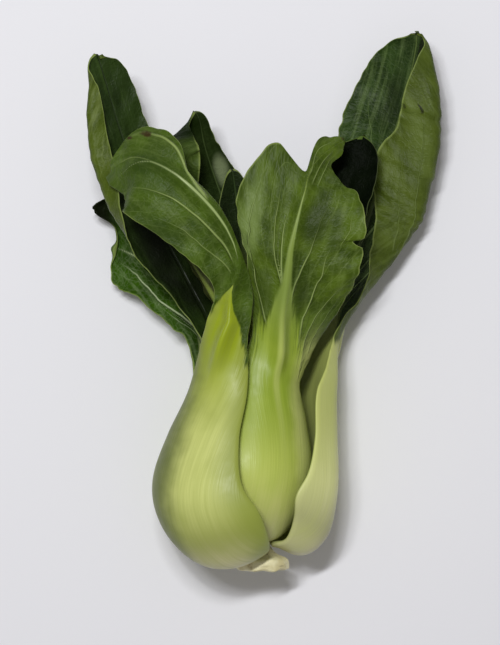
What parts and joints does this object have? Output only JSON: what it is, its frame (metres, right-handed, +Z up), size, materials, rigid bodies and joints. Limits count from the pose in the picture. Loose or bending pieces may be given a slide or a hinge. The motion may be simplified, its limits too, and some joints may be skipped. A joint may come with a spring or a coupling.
{
  "type": "bok choy",
  "caption": "Head of green-stemmed bok choy cut from its root and lying on its back, with a swollen pale base and loose dark leaves",
  "frame": {"origin": "the small flat spot under the swollen base that the head rests on", "axes": "+X is the side of the long right-hand leaf, +Y runs from the cut stem to the leaf tips, +Z is up from the surface that the head lies on"},
  "size_m": [0.1298, 0.1995, 0.0623],
  "materials": {
    "outer_leaf": "waxy pale green stalk running into a matt mid-green blade",
    "inner_leaf": "waxy yellow-green stalk running into a matt dark green blade with pale veins",
    "heart_leaf": "satin very dark green",
    "cut_stem": "dry cream cut face with faint brown stains"
  },
  "bodies": {
    "root": {"leaf_front_left": "outer_leaf", "leaf_right": "outer_leaf", "leaf_back_left": "outer_leaf", "leaf_front": "inner_leaf", "leaf_back": "inner_leaf", "leaf_left": "inner_leaf", "leaf_inner_right": "heart_leaf", "leaf_heart_left": "heart_leaf", "leaf_heart_back": "heart_leaf", "stem_base": "cut_stem"}
  },
  "joints": []
}
